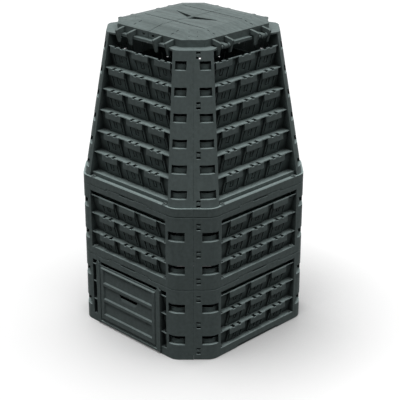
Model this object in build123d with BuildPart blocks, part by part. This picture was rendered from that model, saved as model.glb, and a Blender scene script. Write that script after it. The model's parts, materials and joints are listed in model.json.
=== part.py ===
"""Modular garden compost bin in millimetres, +Z up, door towards -Y.

Three stacked tiers of four louvred panels snap together at the corners. The upper tier tapers to
a lid in two hinged flaps, and a door slides up in front of the base tier. Pieces are drawn about
the middle of the tiers. They are saved a little further back, so that the origin is on the floor
in the middle of the whole bin, door guides included.
"""

import math
import os

from build123d import *

# Tiers
HALF_WIDTH = 400.0
CORNER_LEG = 120.0
BEND_RADIUS = 60.0
TIER_HEIGHT = 330.0
UPPER_HEIGHT = 670.0
UPPER_BAND = 40.0
UPPER_STEP = 8.0
TOP_HALF_WIDTH = 305.0
TOP_CORNER_LEG = 95.0
WALL = 5.0
SEAM_GAP = 0.8
FLANGE_DEPTH = 32.0
FLANGE_THICKNESS = 4.0

# Louvre fields
FIELD_HALF = 236.0
UPPER_FIELD_LOW_HALF = 243.0
UPPER_FIELD_TOP_HALF = 190.0
JAMB = 4.0
SILL_RAIL = 38.0
TOP_RAIL = 22.5
TOP_SLOT = 20.0
FIRST_LEVEL = 22.0
LOWER_ROWS = 3
ROW_PITCH = 90.0
UPPER_ROWS = 6
UPPER_ROW_PITCH = 93.0
UPPER_TOP_SLOT = 43.0
KICK_DEPTH = 13.0
LOUVRE_WALL = 4.0
LEDGE_THICKNESS = 4.0
LOWER_LEDGE_DEPTH = 28.0
UPPER_LEDGE_DEPTH = 40.0
LEDGE_ROUND = 2.5
LEDGE_STEP = 4.0
LIP_DEPTH = 3.0
LIP_DROP = 8.0
LOWER_PAD_FRONT = 0.0
UPPER_PAD_FRONT = 3.0
PAD_HEIGHT = 29.0
PAD_WIDTH = 94.0
PAD_PITCH = 133.0
PAD_STAND_OFF = 2.0
GROOVE_TOP_STEP = 13.0
GROOVE_FOOT_STEP = 7.0
SLIT_WIDTH = 6.0
SLIT_PITCH = 37.0
SLIT_LENGTH = 46.0
SLIT_FOOT = 10.0
SPRING_WIDTH = 12.0
SPRING_SLIT = 4.5
SPRING_LENGTH = 30.0
SPRING_FOOT = 24.0
NOTCH_WIDTH = 16.0
NOTCH_PITCH = 38.0
NOTCH_CUT = 5.0
NOTCH_DEPTH = 20.0
NOTCH_POCKET = 18.0

# Slotted vents in the corner posts
VENT_HEIGHT = 42.0
LOWER_VENT_TOPS = (114.0, 264.0)
LOWER_VENT_SEAM_MARGIN = 36.0
UPPER_VENT_HEIGHT = 36.0
UPPER_VENTS = 6
UPPER_VENT_PITCH = 103.4
UPPER_VENT_TOP_DROP = 42.0
UPPER_VENT_SEAM_MARGIN = 27.5
STILE_MARGIN = 14.0
TRAY_DEPTH = 10.0
TRAY_PLATE = 3.0
TRAY_SIDE = 3.0
TRAY_FLOOR = 3.0
TRAY_TOP_GAP = 21.0
UPPER_TRAY_TOP_GAP = 13.0
TRAY_BITE = 0.4

# Corner snaps
SNAP_REACH = 21.0
SNAP_WIDTH = 18.0
SNAP_HEIGHT = 30.0
SNAP_NOSE_HEIGHT = 12.0
SNAP_CLEARANCE = 1.0
SNAP_NOSE_SETBACK = 1.0
TONGUE_THICKNESS = 3.0
TONGUE_GAP = 0.3
TONGUE_HEIGHT = 14.0
TONGUE_ROOT = 28.0
LOWER_SNAPS = 3
LOWER_SNAP_PITCH = 124.0
UPPER_SNAPS = 4
UPPER_SNAP_PITCH = 198.0
UPPER_SNAP_TOP_DROP = 19.0

# Joints between tiers
TAB_HALF = 128.0
TAB_HEIGHT = 8.0
TAB_CLEARANCE = 0.3
TAB_SLOT_WIDTH = 90.0
TAB_SLOT_DEPTH = 5.0
SEAM_GROOVE_HEIGHT = 3.5
SEAM_GROOVE_DEPTH = 3.5
PEG_X = 222.0
PEG_INSET = 10.2
PEG_RADIUS = 4.5
PEG_CLEARANCE = 0.1
PEG_HEAD_RADIUS = 10.0
PEG_HEAD_HEIGHT = 5.0
PEG_EYE_RADIUS = 4.5
PEG_EYE_DEPTH = 4.0
PEG_BITE = 16.0

# Top rail and lid hinges
RAIL_FRONT_SETBACK = 27.0
RAIL_DEPTH = 38.0
RAIL_HEIGHT = 12.0
MOUTH_CORNER_LEG = 60.0
CAP_THICKNESS = 8.0
CAP_TIP = 33.0
CAP_TIP_SETBACK = 12.0
ARM_POSITIONS = (76.0, 147.0)
ARM_WIDTH = 11.0
ARM_DROP = 36.0
HINGE_SETBACK = 15.0
HINGE_DROP = 4.0
PIN_RADIUS = 5.0
PIN_CLEARANCE = 0.05
EAR_THICKNESS = 8.0
EAR_RADIUS = 9.0
EAR_SIDE_GAP = 4.0
RING_RADIUS = 10.0
RING_WIDTH = 20.0
RING_MOUTH = 7.0
TONGUE_PLATE = 4.7
NOTCH_SIDE_GAP = 6.0
NOTCH_BACK = 11.0

# Lid
LID_HALF = 258.0
LID_CORNER_LEG = 69.0
LID_LIFT = 0.3
LID_SKIRT = 29.5
LID_RISE = 17.5
PLATEAU_HALF = 178.0
PLATEAU_CORNER_LEG = 46.0
LID_WALL = 4.0
SPLIT_GAP = 4.0
SPLIT_WEB = 4.0
GROOVE_Y = 111.5
GROOVE_WIDTH = 4.5
GROOVE_DEPTH = 5.0
GROOVE_FLOOR = 3.0
DASH_LENGTH = 15.0
DASH_STARTS = (14.0, 44.0)
RECESS_ENDS = (9.0, 121.0)
RECESS_WALL_YS = (-1.0, 22.0)
RECESS_DEPTHS = (14.0, 1.5)
RECESS_RUNS = (44.0, 6.0)
RECESS_CUP_WALL = 3.0
LATCH_X = 28.0
LATCH_WIDTH = 15.0
LATCH_HEIGHT = 9.0
DIMPLE_RADIUS = 2.5
DIMPLE_DEPTH = 3.0
DIMPLE_SPREAD = 11.75
DIMPLE_REACHES = (171.5, 200.0)

# Door
DOOR_HALF = 194.0
DOOR_THICKNESS = 10.0
DOOR_WEB = 3.5
DOOR_HEIGHT = 277.0
DOOR_BACK_GAP = 1.0
DOOR_SIDE_CLEARANCE = 0.5
DOOR_FACE_CLEARANCE = 0.4
DOOR_SEAT_GAP = 0.3
DOOR_FRAME_HALF = 175.0
DOOR_FRAME_TOP_STEP = 8.0
DOOR_FRAME_FOOT_STEP = 13.0
DOOR_FRAME_SLOPE = 30.0
DOOR_STILE = 18.0
DOOR_TOP_RAIL = 8.0
DOOR_FOOT_RAIL = 27.0
DOOR_RIB = 13.0
DOOR_BAYS = 3
BAY_SLOPE = 40.0
GRIP_WIDTH = 122.0
GRIP_HEIGHT = 31.0
GRIP_LIFT = 8.0
GRIP_SLOT = 15.0
GRIP_END_ANGLE = 62.0
GUIDE_WALL = 9.5
GUIDE_LIP = 3.6
GUIDE_COVER = 11.0
GUIDE_BACK = 6.0
GUIDE_POINT = 14.0
GUIDE_TOP = 317.0
SILL_HEIGHT = 8.0
SILL_LIFT = 10.0

# Levels and widths that follow from the sizes above
UPPER_BASE = 2 * TIER_HEIGHT
TAPER_BASE = UPPER_BASE + UPPER_BAND
TOP = UPPER_BASE + UPPER_HEIGHT
OFFSET_LEG = 2 - math.sqrt(2)
TAPER_HALF_WIDTH = HALF_WIDTH - UPPER_STEP
TAPER_CORNER_LEG = CORNER_LEG - UPPER_STEP * OFFSET_LEG
PAD_CENTRES = (-PAD_PITCH, 0.0, PAD_PITCH)
LOWER_FIELD_DEPTH = LOWER_PAD_FRONT + LOWER_LEDGE_DEPTH + GROOVE_FOOT_STEP + LOUVRE_WALL
UPPER_FIELD_DEPTH = UPPER_PAD_FRONT + UPPER_LEDGE_DEPTH + GROOVE_FOOT_STEP + LOUVRE_WALL
RAIL_FOOT = TIER_HEIGHT - TOP_RAIL
LOWER_LEVELS = [FIRST_LEVEL + row * ROW_PITCH for row in range(LOWER_ROWS)] + [RAIL_FOOT - TOP_SLOT]
UPPER_LEVELS = [
    TOP - RAIL_HEIGHT - UPPER_TOP_SLOT - row * UPPER_ROW_PITCH for row in range(UPPER_ROWS, -1, -1)
]
LOWER_SNAP_LEVELS = [
    TIER_HEIGHT / 2 + (row - (LOWER_SNAPS - 1) / 2) * LOWER_SNAP_PITCH for row in range(LOWER_SNAPS)
]
UPPER_SNAP_LEVELS = [TOP - UPPER_SNAP_TOP_DROP - row * UPPER_SNAP_PITCH for row in range(UPPER_SNAPS)]
UPPER_VENT_TOPS = [TOP - UPPER_VENT_TOP_DROP - row * UPPER_VENT_PITCH for row in range(UPPER_VENTS)]
RAIL_FRONT = TOP_HALF_WIDTH - RAIL_FRONT_SETBACK
MOUTH_HALF = RAIL_FRONT - RAIL_DEPTH
HINGE_X = TOP_HALF_WIDTH - HINGE_SETBACK
HINGE_Z = TOP - HINGE_DROP
HINGE_Y = sum(ARM_POSITIONS) / 2
EAR_OFFSET = (ARM_POSITIONS[1] - ARM_POSITIONS[0] - ARM_WIDTH) / 2 - EAR_SIDE_GAP - EAR_THICKNESS / 2
LID_SEAT = TOP + LID_LIFT
LID_EDGE = LID_SEAT + LID_SKIRT
LID_TOP = LID_EDGE + LID_RISE
DOOR_BACK = HALF_WIDTH + DOOR_BACK_GAP
DOOR_FRONT = DOOR_BACK + DOOR_THICKNESS
DOOR_FOOT = SILL_LIFT + SILL_HEIGHT + DOOR_SEAT_GAP
DOOR_FRAME_FOOT = DOOR_FOOT + DOOR_FRAME_FOOT_STEP
DOOR_FRAME_TOP = DOOR_FOOT + DOOR_HEIGHT - DOOR_FRAME_TOP_STEP
GUIDE_INNER = DOOR_HALF - GUIDE_COVER
GUIDE_CHANNEL = DOOR_HALF + DOOR_SIDE_CLEARANCE
GUIDE_OUTER = GUIDE_CHANNEL + GUIDE_WALL
GUIDE_FRONT = DOOR_BACK + DOOR_WEB + DOOR_FACE_CLEARANCE + GUIDE_LIP
CENTRE_SHIFT = (max(DOOR_FRONT, GUIDE_FRONT) - HALF_WIDTH) / 2
BEND_ANGLE = 22.5
FAR = 2 * HALF_WIDTH
SIDES = {"front": 0.0, "right": 90.0, "back": 180.0, "left": 270.0}


def lift(sketch, height):
    """A flat sketch moved up to a height."""
    return Pos(0, 0, height) * sketch


def outline(half_width, leg, bend, inset=0.0):
    """Square with cut and rounded corners seen from above, every side moved in by an inset."""
    half = half_width - inset
    with BuildSketch() as plan:
        Rectangle(2 * half, 2 * half)
        chamfer(plan.vertices(), length=leg - inset * OFFSET_LEG)
        if bend > inset:
            fillet(plan.vertices(), radius=bend - inset)
    return plan.sketch


def lower_outline(inset=0.0):
    """Outline of the two straight tiers."""
    return outline(HALF_WIDTH, CORNER_LEG, BEND_RADIUS, inset)


def taper(height, low, high):
    """A size that runs straight from the foot of the taper to its top."""
    return low + (high - low) * (height - TAPER_BASE) / (TOP - TAPER_BASE)


def upper_half_width(height):
    return taper(height, TAPER_HALF_WIDTH, TOP_HALF_WIDTH)


def upper_corner_leg(height):
    return taper(height, TAPER_CORNER_LEG, TOP_CORNER_LEG)


def upper_field_half(height):
    return taper(height, UPPER_FIELD_LOW_HALF, UPPER_FIELD_TOP_HALF)


def lower_face(height):
    """Y of the front face of a straight tier, the same at every height."""
    return -HALF_WIDTH


def upper_face(height):
    """Y of the leaning front face of the upper tier."""
    return -upper_half_width(height)


def quarter():
    """Quarter of the plan between two corner seams, for the panel that faces -Y."""
    gap = SEAM_GAP / math.sqrt(2)
    with BuildSketch() as plan:
        Polygon((0, -gap), (FAR - gap, -FAR), (gap - FAR, -FAR), align=None)
    return plan.sketch


def tapered_block(inset=0.0):
    """Solid inside the leaning faces of the upper tier, every face moved in by an inset."""
    low_corner = (2 * TAPER_HALF_WIDTH - TAPER_CORNER_LEG) / math.sqrt(2)
    top_corner = (2 * TOP_HALF_WIDTH - TOP_CORNER_LEG) / math.sqrt(2)
    slabs = (
        (0, TAPER_HALF_WIDTH - inset, TOP_HALF_WIDTH - inset),
        (90, TAPER_HALF_WIDTH - inset, TOP_HALF_WIDTH - inset),
        (45, low_corner - inset, top_corner - inset),
        (135, low_corner - inset, top_corner - inset),
    )
    with BuildPart() as block:
        for turn, low, top in slabs:
            across = Vector(1, 0, 0).rotate(Axis.Z, turn)
            along = Vector(0, -1, 0).rotate(Axis.Z, turn)
            with BuildSketch(Plane((0, 0, 0), x_dir=across, z_dir=along)):
                Polygon((-low, TAPER_BASE), (low, TAPER_BASE), (top, TOP), (-top, TOP), align=None)
            extrude(amount=FAR, both=True, mode=Mode.INTERSECT if turn else Mode.ADD)
        uprights = block.edges().filter_by(lambda edge: edge.bounding_box().size.Z > WALL)
        fillet(uprights, radius=BEND_RADIUS - inset)
    return block.part


def section(*points):
    """Closed shape in the YZ plane."""
    with BuildSketch(Plane.YZ) as shape:
        Polygon(*points, align=None)
    return shape.sketch


def notch_shape():
    """Notch through the front edge of a ledge with a deeper pocket behind, its back end at Y = 0."""
    side_view = section(
        (0, NOTCH_CUT),
        (0, -NOTCH_POCKET),
        (LEDGE_STEP - NOTCH_DEPTH, -NOTCH_POCKET),
        (LEDGE_STEP - NOTCH_DEPTH, -NOTCH_CUT),
        (-NOTCH_DEPTH - NOTCH_CUT, -NOTCH_CUT),
        (-NOTCH_DEPTH - NOTCH_CUT, NOTCH_CUT),
    )
    with BuildPart() as notch:
        extrude(side_view, amount=NOTCH_WIDTH / 2, both=True)
    return notch.part


def louvre_rows(face, levels, reach, pads, front, depth, notched):
    """Saw-tooth wall of rows that lean out to a ledge, with raised pads, slits and notches.

    front is how far the pads stand behind the face of the posts, depth is that of the ledges, and
    notched is the number of ledges with notches, counted from below. The top row ends in a lip
    that falls away inwards.
    """
    rows = list(zip(levels, levels[1:]))
    top = levels[-1]
    back = front + depth
    ledge_front = front + LEDGE_STEP
    wall_top = front + GROOVE_TOP_STEP
    wall_foot = back + GROOVE_FOOT_STEP
    lip_back = ledge_front + LIP_DEPTH
    with BuildPart() as field:
        with BuildSketch(Plane.YZ):
            for low, high in rows:
                wall_end = high - LIP_DROP if high == top else high
                Polygon(
                    (face(high) + wall_top, wall_end),
                    (face(low) + wall_foot, low - LEDGE_THICKNESS),
                    (face(low) + wall_foot + LOUVRE_WALL, low - LEDGE_THICKNESS),
                    (face(high) + wall_top + LOUVRE_WALL, wall_end),
                    align=None,
                )
            for high in levels[1:-1]:
                Polygon(
                    (face(high) + ledge_front, high - LEDGE_THICKNESS),
                    (face(high) + ledge_front, high - LEDGE_ROUND),
                    (face(high) + ledge_front + LEDGE_ROUND, high),
                    (face(high) + wall_foot + LOUVRE_WALL, high),
                    (face(high) + wall_foot + LOUVRE_WALL, high - LEDGE_THICKNESS),
                    align=None,
                )
            Polygon(
                (face(top) + ledge_front, top - LEDGE_THICKNESS),
                (face(top) + ledge_front, top - LEDGE_ROUND),
                (face(top) + ledge_front + LEDGE_ROUND, top),
                (face(top) + lip_back, top),
                (face(top) + wall_top + LOUVRE_WALL, top - LIP_DROP),
                (face(top) + wall_top + LOUVRE_WALL, top - LIP_DROP - 2 * LEDGE_THICKNESS),
                (face(top) + wall_top, top - LIP_DROP - LEDGE_THICKNESS),
                align=None,
            )
        extrude(amount=reach, both=True)
        for centre in pads:
            with BuildSketch(Plane.YZ.offset(centre)):
                for low, high in rows:
                    chin = high - PAD_HEIGHT
                    lean_top = face(high) + front + PAD_STAND_OFF
                    lean_foot = face(low) + back
                    lean_chin = lean_top + (lean_foot - lean_top) * PAD_HEIGHT / (high - low)
                    pad_end = high - LIP_DROP if high == top else high
                    Polygon(
                        (face(high) + lip_back, high),
                        (face(high) + front + LEDGE_ROUND, high),
                        (face(high) + front, high - LEDGE_ROUND),
                        (face(high) + front, chin),
                        (lean_chin, chin),
                        (lean_foot, low),
                        (face(low) + wall_foot + LOUVRE_WALL / 2, low),
                        (face(high) + wall_top + LOUVRE_WALL / 2, pad_end),
                        align=None,
                    )
            extrude(amount=PAD_WIDTH / 2, both=True)
        if pads:
            with BuildSketch(Plane.XZ):
                for centre in pads:
                    for low, high in rows:
                        with Locations(
                            (centre - SLIT_PITCH, low + SLIT_FOOT + SLIT_LENGTH / 2),
                            (centre + SLIT_PITCH, low + SLIT_FOOT + SLIT_LENGTH / 2),
                        ):
                            Rectangle(SLIT_WIDTH, SLIT_LENGTH)
                        with Locations((centre, low + SPRING_FOOT + SPRING_LENGTH / 2)):
                            Rectangle(SPRING_WIDTH + 2 * SPRING_SLIT, SPRING_LENGTH)
                        with Locations((centre, low + SPRING_FOOT + (SPRING_LENGTH + SPRING_SLIT) / 2)):
                            Rectangle(SPRING_WIDTH, SPRING_LENGTH - SPRING_SLIT, mode=Mode.SUBTRACT)
            extrude(amount=FAR, mode=Mode.SUBTRACT)
            notches = [
                (centre + side * NOTCH_PITCH / 2, face(high) + front + NOTCH_DEPTH, high)
                for centre in pads
                for side in (-1, 1)
                for low, high in rows[:notched]
            ]
            notch = notch_shape()
            with Locations(*notches):
                add(notch, mode=Mode.SUBTRACT)
    return field.part


def lower_rows(pads, front):
    """Louvre rows of a straight tier, with an open slot between the top one and the top rail."""
    reach = FIELD_HALF + JAMB / 2
    return louvre_rows(lower_face, LOWER_LEVELS, reach, pads, front, LOWER_LEDGE_DEPTH, LOWER_ROWS - 1)


def jambs(face, low, high, half_low, half_high, depth):
    """The two side walls of a louvre field, running in from the face of the posts to a depth."""
    with BuildPart() as walls:
        side_view = section(
            (face(low) + WALL / 2, low),
            (face(high) + WALL / 2, high),
            (face(high) + depth, high),
            (face(low) + depth, low),
        )
        extrude(side_view, amount=FAR, both=True)
        with BuildSketch(Plane.XZ):
            for side in (-1, 1):
                Polygon(
                    (side * half_low, low),
                    (side * half_high, high),
                    (side * (half_high + JAMB), high),
                    (side * (half_low + JAMB), low),
                    align=None,
                )
        extrude(amount=FAR, mode=Mode.INTERSECT)
    return walls.part


def field_opening(low, high, half_low, half_high):
    """Prism through the front face between the posts."""
    with BuildPart() as opening:
        with BuildSketch(Plane.XZ):
            Polygon(
                (-half_low, low), (half_low, low), (half_high, high), (-half_high, high), align=None
            )
        extrude(amount=FAR)
    return opening.part


def vent_places(half_width, leg, field_half, seam_margin):
    """Middle, turn and width of the vent round each bend of a panel."""
    face_side = half_width - leg - field_half - STILE_MARGIN
    corner_side = leg / math.sqrt(2) - seam_margin
    turn = math.radians(BEND_ANGLE)
    width = (face_side + corner_side) * math.cos(turn)
    shift = (corner_side - face_side) * math.cos(turn) / 2
    for side in (-1, 1):
        x = side * (half_width - leg + shift * math.cos(turn))
        y = shift * math.sin(turn) - half_width
        yield Location((x, y, 0), (0, 0, side * BEND_ANGLE)), width


def vent_trays(half_width, leg, field_half, seam_margin):
    """Plans of the trays behind two vents and of the space cut out of them."""
    ring = outline(half_width, leg, BEND_RADIUS, WALL - TRAY_BITE)
    inside = outline(half_width, leg, BEND_RADIUS, WALL + TRAY_DEPTH + TRAY_PLATE)
    plate = outline(half_width, leg, BEND_RADIUS, WALL + TRAY_DEPTH)
    with BuildSketch() as solid:
        for place, width in vent_places(half_width, leg, field_half, seam_margin):
            with Locations(place):
                Rectangle(width + 2 * TRAY_SIDE, BEND_RADIUS * 2)
        add(ring, mode=Mode.INTERSECT)
        add(inside, mode=Mode.SUBTRACT)
    with BuildSketch() as space:
        for place, width in vent_places(half_width, leg, field_half, seam_margin):
            with Locations(place):
                Rectangle(width, BEND_RADIUS * 2)
        add(plate, mode=Mode.SUBTRACT)
    return solid.sketch, space.sketch


def corner_plane(side, low, high):
    """Plane on the outside of the corner, with X along it away from the seam of the right end.

    low and high are the middle points of the corner at two heights.
    """
    up = Vector(*high) - Vector(*low)
    across = Vector(1, side, 0).normalized()
    return Plane(origin=low, x_dir=across, z_dir=across.cross(up).normalized())


def snap_shapes(levels, side, low, high):
    """Shapes of the snap at one corner: windows to cut and, apart from them, tongues and noses."""
    plane = corner_plane(side, low, high)
    slope = (Vector(*high) - Vector(*low)).length / (high[2] - low[2])
    heights = [(level - low[2]) * slope for level in levels]
    tongue_back = WALL + TONGUE_GAP + TONGUE_THICKNESS
    nose_width = SNAP_WIDTH - 2 * SNAP_CLEARANCE
    tongue_end = SNAP_REACH + SNAP_WIDTH / 2 + TONGUE_THICKNESS
    with BuildPart() as windows:
        with BuildSketch(plane.offset(-WALL - TRAY_BITE)):
            with Locations(*[(SNAP_REACH, height) for height in heights]):
                Rectangle(SNAP_WIDTH, SNAP_HEIGHT)
        extrude(amount=2 * WALL)
    with BuildPart() as hooks:
        with BuildSketch(plane.offset(-tongue_back)):
            with Locations(*[((tongue_end - TONGUE_ROOT) / 2, height) for height in heights]):
                Rectangle(tongue_end + TONGUE_ROOT, TONGUE_HEIGHT)
        extrude(amount=TONGUE_THICKNESS)
        with BuildSketch(plane.offset(-tongue_back)):
            with Locations(*[(-(TONGUE_ROOT + SEAM_GAP) / 2, height) for height in heights]):
                Rectangle(TONGUE_ROOT - SEAM_GAP, TONGUE_HEIGHT)
        extrude(amount=TONGUE_THICKNESS + TONGUE_GAP + TRAY_BITE)
        with BuildSketch(plane.offset(-tongue_back)):
            with Locations(*[(SNAP_REACH, height) for height in heights]):
                Rectangle(nose_width, SNAP_NOSE_HEIGHT)
        extrude(amount=tongue_back - SNAP_NOSE_SETBACK)
    return windows.part, hooks.part


def peg_holes(base, face_distance, height):
    """Round holes for the pegs at both ends of a rail."""
    with BuildPart() as holes:
        with Locations(
            (-PEG_X, PEG_INSET - face_distance, base), (PEG_X, PEG_INSET - face_distance, base)
        ):
            Cylinder(
                PEG_RADIUS + PEG_CLEARANCE,
                height,
                align=(Align.CENTER, Align.CENTER, Align.MIN),
            )
    return holes.part


def tab_notch(base):
    """Space in the foot of a panel for the tab of the panel under it."""
    half = TAB_HALF + TAB_CLEARANCE
    with BuildPart() as notch:
        with Locations((0, -HALF_WIDTH, base)):
            Box(2 * half, 2 * (WALL + TAB_CLEARANCE), 2 * (TAB_HEIGHT + TAB_CLEARANCE))
    return notch.part


def seam_groove(base):
    """Groove outside the foot of a panel and round its tab, which draws a line between two tiers."""
    with BuildPart() as groove:
        ring = lift(lower_outline(-WALL) - lower_outline(SEAM_GROOVE_DEPTH), base)
        extrude(ring, amount=SEAM_GROOVE_HEIGHT)
        with Locations((0, -HALF_WIDTH, base)):
            Box(
                2 * (TAB_HALF + SEAM_GROOVE_HEIGHT),
                2 * SEAM_GROOVE_DEPTH,
                2 * (TAB_HEIGHT + SEAM_GROOVE_HEIGHT),
            )
    return groove.part


def flange(height):
    """Flat ring inside a straight tier, in one quarter."""
    return lift(lower_outline(WALL / 2) - lower_outline(FLANGE_DEPTH), height)


def lower_frame():
    """Posts, rails, flanges, vents and snaps that all panels of the straight tiers share."""
    vents = vent_trays(HALF_WIDTH, CORNER_LEG, FIELD_HALF, LOWER_VENT_SEAM_MARGIN)
    middle = HALF_WIDTH - CORNER_LEG / 2
    ends = ((-middle, -middle, 0), (-middle, -middle, TIER_HEIGHT))
    windows = snap_shapes(LOWER_SNAP_LEVELS, -1, *ends)[0]
    ends = ((middle, -middle, 0), (middle, -middle, TIER_HEIGHT))
    hooks = snap_shapes(LOWER_SNAP_LEVELS, 1, *ends)[1]
    with BuildPart() as frame:
        extrude(lower_outline(), amount=TIER_HEIGHT)
        extrude(lower_outline(WALL), amount=TIER_HEIGHT, mode=Mode.SUBTRACT)
        extrude(flange(0), amount=FLANGE_THICKNESS)
        extrude(flange(TIER_HEIGHT - FLANGE_THICKNESS), amount=FLANGE_THICKNESS)
        extrude(quarter(), amount=TIER_HEIGHT, mode=Mode.INTERSECT)
        add(
            field_opening(SILL_RAIL, RAIL_FOOT, FIELD_HALF, FIELD_HALF),
            mode=Mode.SUBTRACT,
        )
        add(jambs(lower_face, 0, TIER_HEIGHT, FIELD_HALF, FIELD_HALF, LOWER_FIELD_DEPTH))
        for top in LOWER_VENT_TOPS:
            foot = top - VENT_HEIGHT
            tray_height = TRAY_FLOOR + VENT_HEIGHT - TRAY_TOP_GAP
            extrude(lift(vents[0], foot - TRAY_FLOOR), amount=tray_height)
        for top in LOWER_VENT_TOPS:
            extrude(lift(vents[1], top - VENT_HEIGHT), amount=VENT_HEIGHT, mode=Mode.SUBTRACT)
        add(windows, mode=Mode.SUBTRACT)
        add(hooks)
        with Locations((0, WALL / 2 - HALF_WIDTH, TIER_HEIGHT)):
            Box(2 * TAB_HALF, WALL, 2 * TAB_HEIGHT)
        with Locations((0, -HALF_WIDTH, TIER_HEIGHT + TAB_HEIGHT)):
            Box(TAB_SLOT_WIDTH, 4 * WALL, 2 * TAB_SLOT_DEPTH, mode=Mode.SUBTRACT)
    return frame.part


def sill_shelf():
    """Ledge on the bottom rail, running in to the louvre wall."""
    depth = section(
        (WALL / 2 - HALF_WIDTH, SILL_RAIL),
        (LOWER_FIELD_DEPTH - HALF_WIDTH, SILL_RAIL),
        (LOWER_FIELD_DEPTH - HALF_WIDTH, SILL_RAIL - LEDGE_THICKNESS),
        (WALL / 2 - HALF_WIDTH, SILL_RAIL - LEDGE_THICKNESS),
    )
    return depth


def lower_panel():
    """Panel of the straight tiers with a full louvre field."""
    frame = lower_frame()
    rows = lower_rows(PAD_CENTRES, LOWER_PAD_FRONT)
    with BuildPart() as panel:
        add(frame)
        add(rows)
        extrude(sill_shelf(), amount=FIELD_HALF + JAMB / 2, both=True)
        add(tab_notch(0), mode=Mode.SUBTRACT)
        add(seam_groove(0), mode=Mode.SUBTRACT)
        add(peg_holes(-1, HALF_WIDTH, TIER_HEIGHT + 2), mode=Mode.SUBTRACT)
    return panel.part


def door_guides():
    """Channels beside the door, with pointed lips, and the sill that the door stands on."""
    shoulder = GUIDE_TOP - GUIDE_POINT
    middle = (GUIDE_INNER + GUIDE_OUTER) / 2
    with BuildPart() as guides:
        for side in (-1, 1):
            with BuildSketch(Plane.XZ.offset(GUIDE_FRONT - GUIDE_LIP)):
                Polygon(
                    (side * GUIDE_INNER, SILL_LIFT),
                    (side * GUIDE_OUTER, SILL_LIFT),
                    (side * GUIDE_OUTER, shoulder),
                    (side * middle, GUIDE_TOP),
                    (side * GUIDE_INNER, shoulder),
                    align=None,
                )
            extrude(amount=GUIDE_LIP)
            with BuildSketch(Plane.XZ.offset(HALF_WIDTH - LOWER_FIELD_DEPTH)):
                Polygon(
                    (side * GUIDE_CHANNEL, SILL_LIFT),
                    (side * GUIDE_OUTER, SILL_LIFT),
                    (side * GUIDE_OUTER, shoulder),
                    (side * GUIDE_CHANNEL, shoulder + GUIDE_POINT / 2),
                    align=None,
                )
            extrude(amount=GUIDE_FRONT - HALF_WIDTH + LOWER_FIELD_DEPTH)
            with BuildSketch(Plane.XZ.offset(HALF_WIDTH - GUIDE_BACK)):
                with Locations((side * middle, (SILL_LIFT + TIER_HEIGHT) / 2)):
                    Rectangle(GUIDE_OUTER - GUIDE_INNER, TIER_HEIGHT - SILL_LIFT)
            extrude(amount=GUIDE_BACK)
        with BuildSketch(Plane.XY.offset(SILL_LIFT)):
            with Locations((0, -(GUIDE_FRONT + HALF_WIDTH - LOWER_FIELD_DEPTH) / 2)):
                Rectangle(2 * GUIDE_OUTER, GUIDE_FRONT - HALF_WIDTH + LOWER_FIELD_DEPTH)
        extrude(amount=SILL_HEIGHT)
    return guides.part


def door_panel():
    """Front panel of the base tier: door opening, guides and narrow louvres beside them."""
    frame = lower_frame()
    rows = lower_rows((), -LEDGE_STEP)
    guides = door_guides()
    opening = field_opening(-1, RAIL_FOOT, GUIDE_CHANNEL, GUIDE_CHANNEL)
    with BuildPart() as panel:
        add(frame)
        add(rows)
        extrude(sill_shelf(), amount=FIELD_HALF + JAMB / 2, both=True)
        add(opening, mode=Mode.SUBTRACT)
        add(guides)
        add(peg_holes(-1, HALF_WIDTH, TIER_HEIGHT + 2), mode=Mode.SUBTRACT)
    return panel.part


def access_door():
    """Plate that runs in the guides, with a raised frame of three bays and a finger slot."""
    frame_height = DOOR_FRAME_TOP - DOOR_FRAME_FOOT
    frame_depth = DOOR_THICKNESS - DOOR_WEB
    bays_low = DOOR_FRAME_FOOT + DOOR_FOOT_RAIL
    pitch = (DOOR_FRAME_TOP - DOOR_TOP_RAIL - bays_low + DOOR_RIB) / DOOR_BAYS
    bay = pitch - DOOR_RIB
    centres = [bays_low + bay / 2 + row * pitch for row in range(DOOR_BAYS)]
    grip = centres[DOOR_BAYS // 2] + GRIP_LIFT
    grip_top = grip + GRIP_HEIGHT / 2
    with BuildPart() as pocket:
        with BuildSketch(Plane.XZ.offset(DOOR_BACK)):
            with Locations((0, grip)):
                Trapezoid(GRIP_WIDTH, GRIP_HEIGHT, GRIP_END_ANGLE, rotation=180)
        extrude(amount=DOOR_THICKNESS, both=True)
        slope = section(
            (-DOOR_BACK - DOOR_WEB, grip_top - GRIP_HEIGHT),
            (-DOOR_BACK, grip_top - GRIP_SLOT),
            (-HALF_WIDTH, grip_top - GRIP_SLOT),
            (-HALF_WIDTH, grip_top),
            (-DOOR_FRONT, grip_top),
            (-DOOR_FRONT, grip_top - GRIP_HEIGHT),
        )
        extrude(slope, amount=GRIP_WIDTH, both=True, mode=Mode.INTERSECT)
    with BuildPart() as door:
        with BuildSketch(Plane.XZ.offset(DOOR_BACK)):
            with Locations((0, DOOR_FOOT + DOOR_HEIGHT / 2)):
                Rectangle(2 * DOOR_HALF, DOOR_HEIGHT)
        extrude(amount=DOOR_WEB)
        with BuildSketch(Plane.XZ.offset(DOOR_BACK + DOOR_WEB)):
            with Locations((0, DOOR_FRAME_FOOT + frame_height / 2)):
                Rectangle(2 * DOOR_FRAME_HALF, frame_height)
        extrude(amount=frame_depth, taper=DOOR_FRAME_SLOPE)
        with BuildSketch(Plane.XZ.offset(DOOR_FRONT)):
            with Locations(*[(0, centre) for centre in centres]):
                Rectangle(2 * (DOOR_FRAME_HALF - DOOR_STILE), bay)
        extrude(amount=-frame_depth, taper=BAY_SLOPE, mode=Mode.SUBTRACT)
        add(pocket.part, mode=Mode.SUBTRACT)
    return door.part


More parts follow.
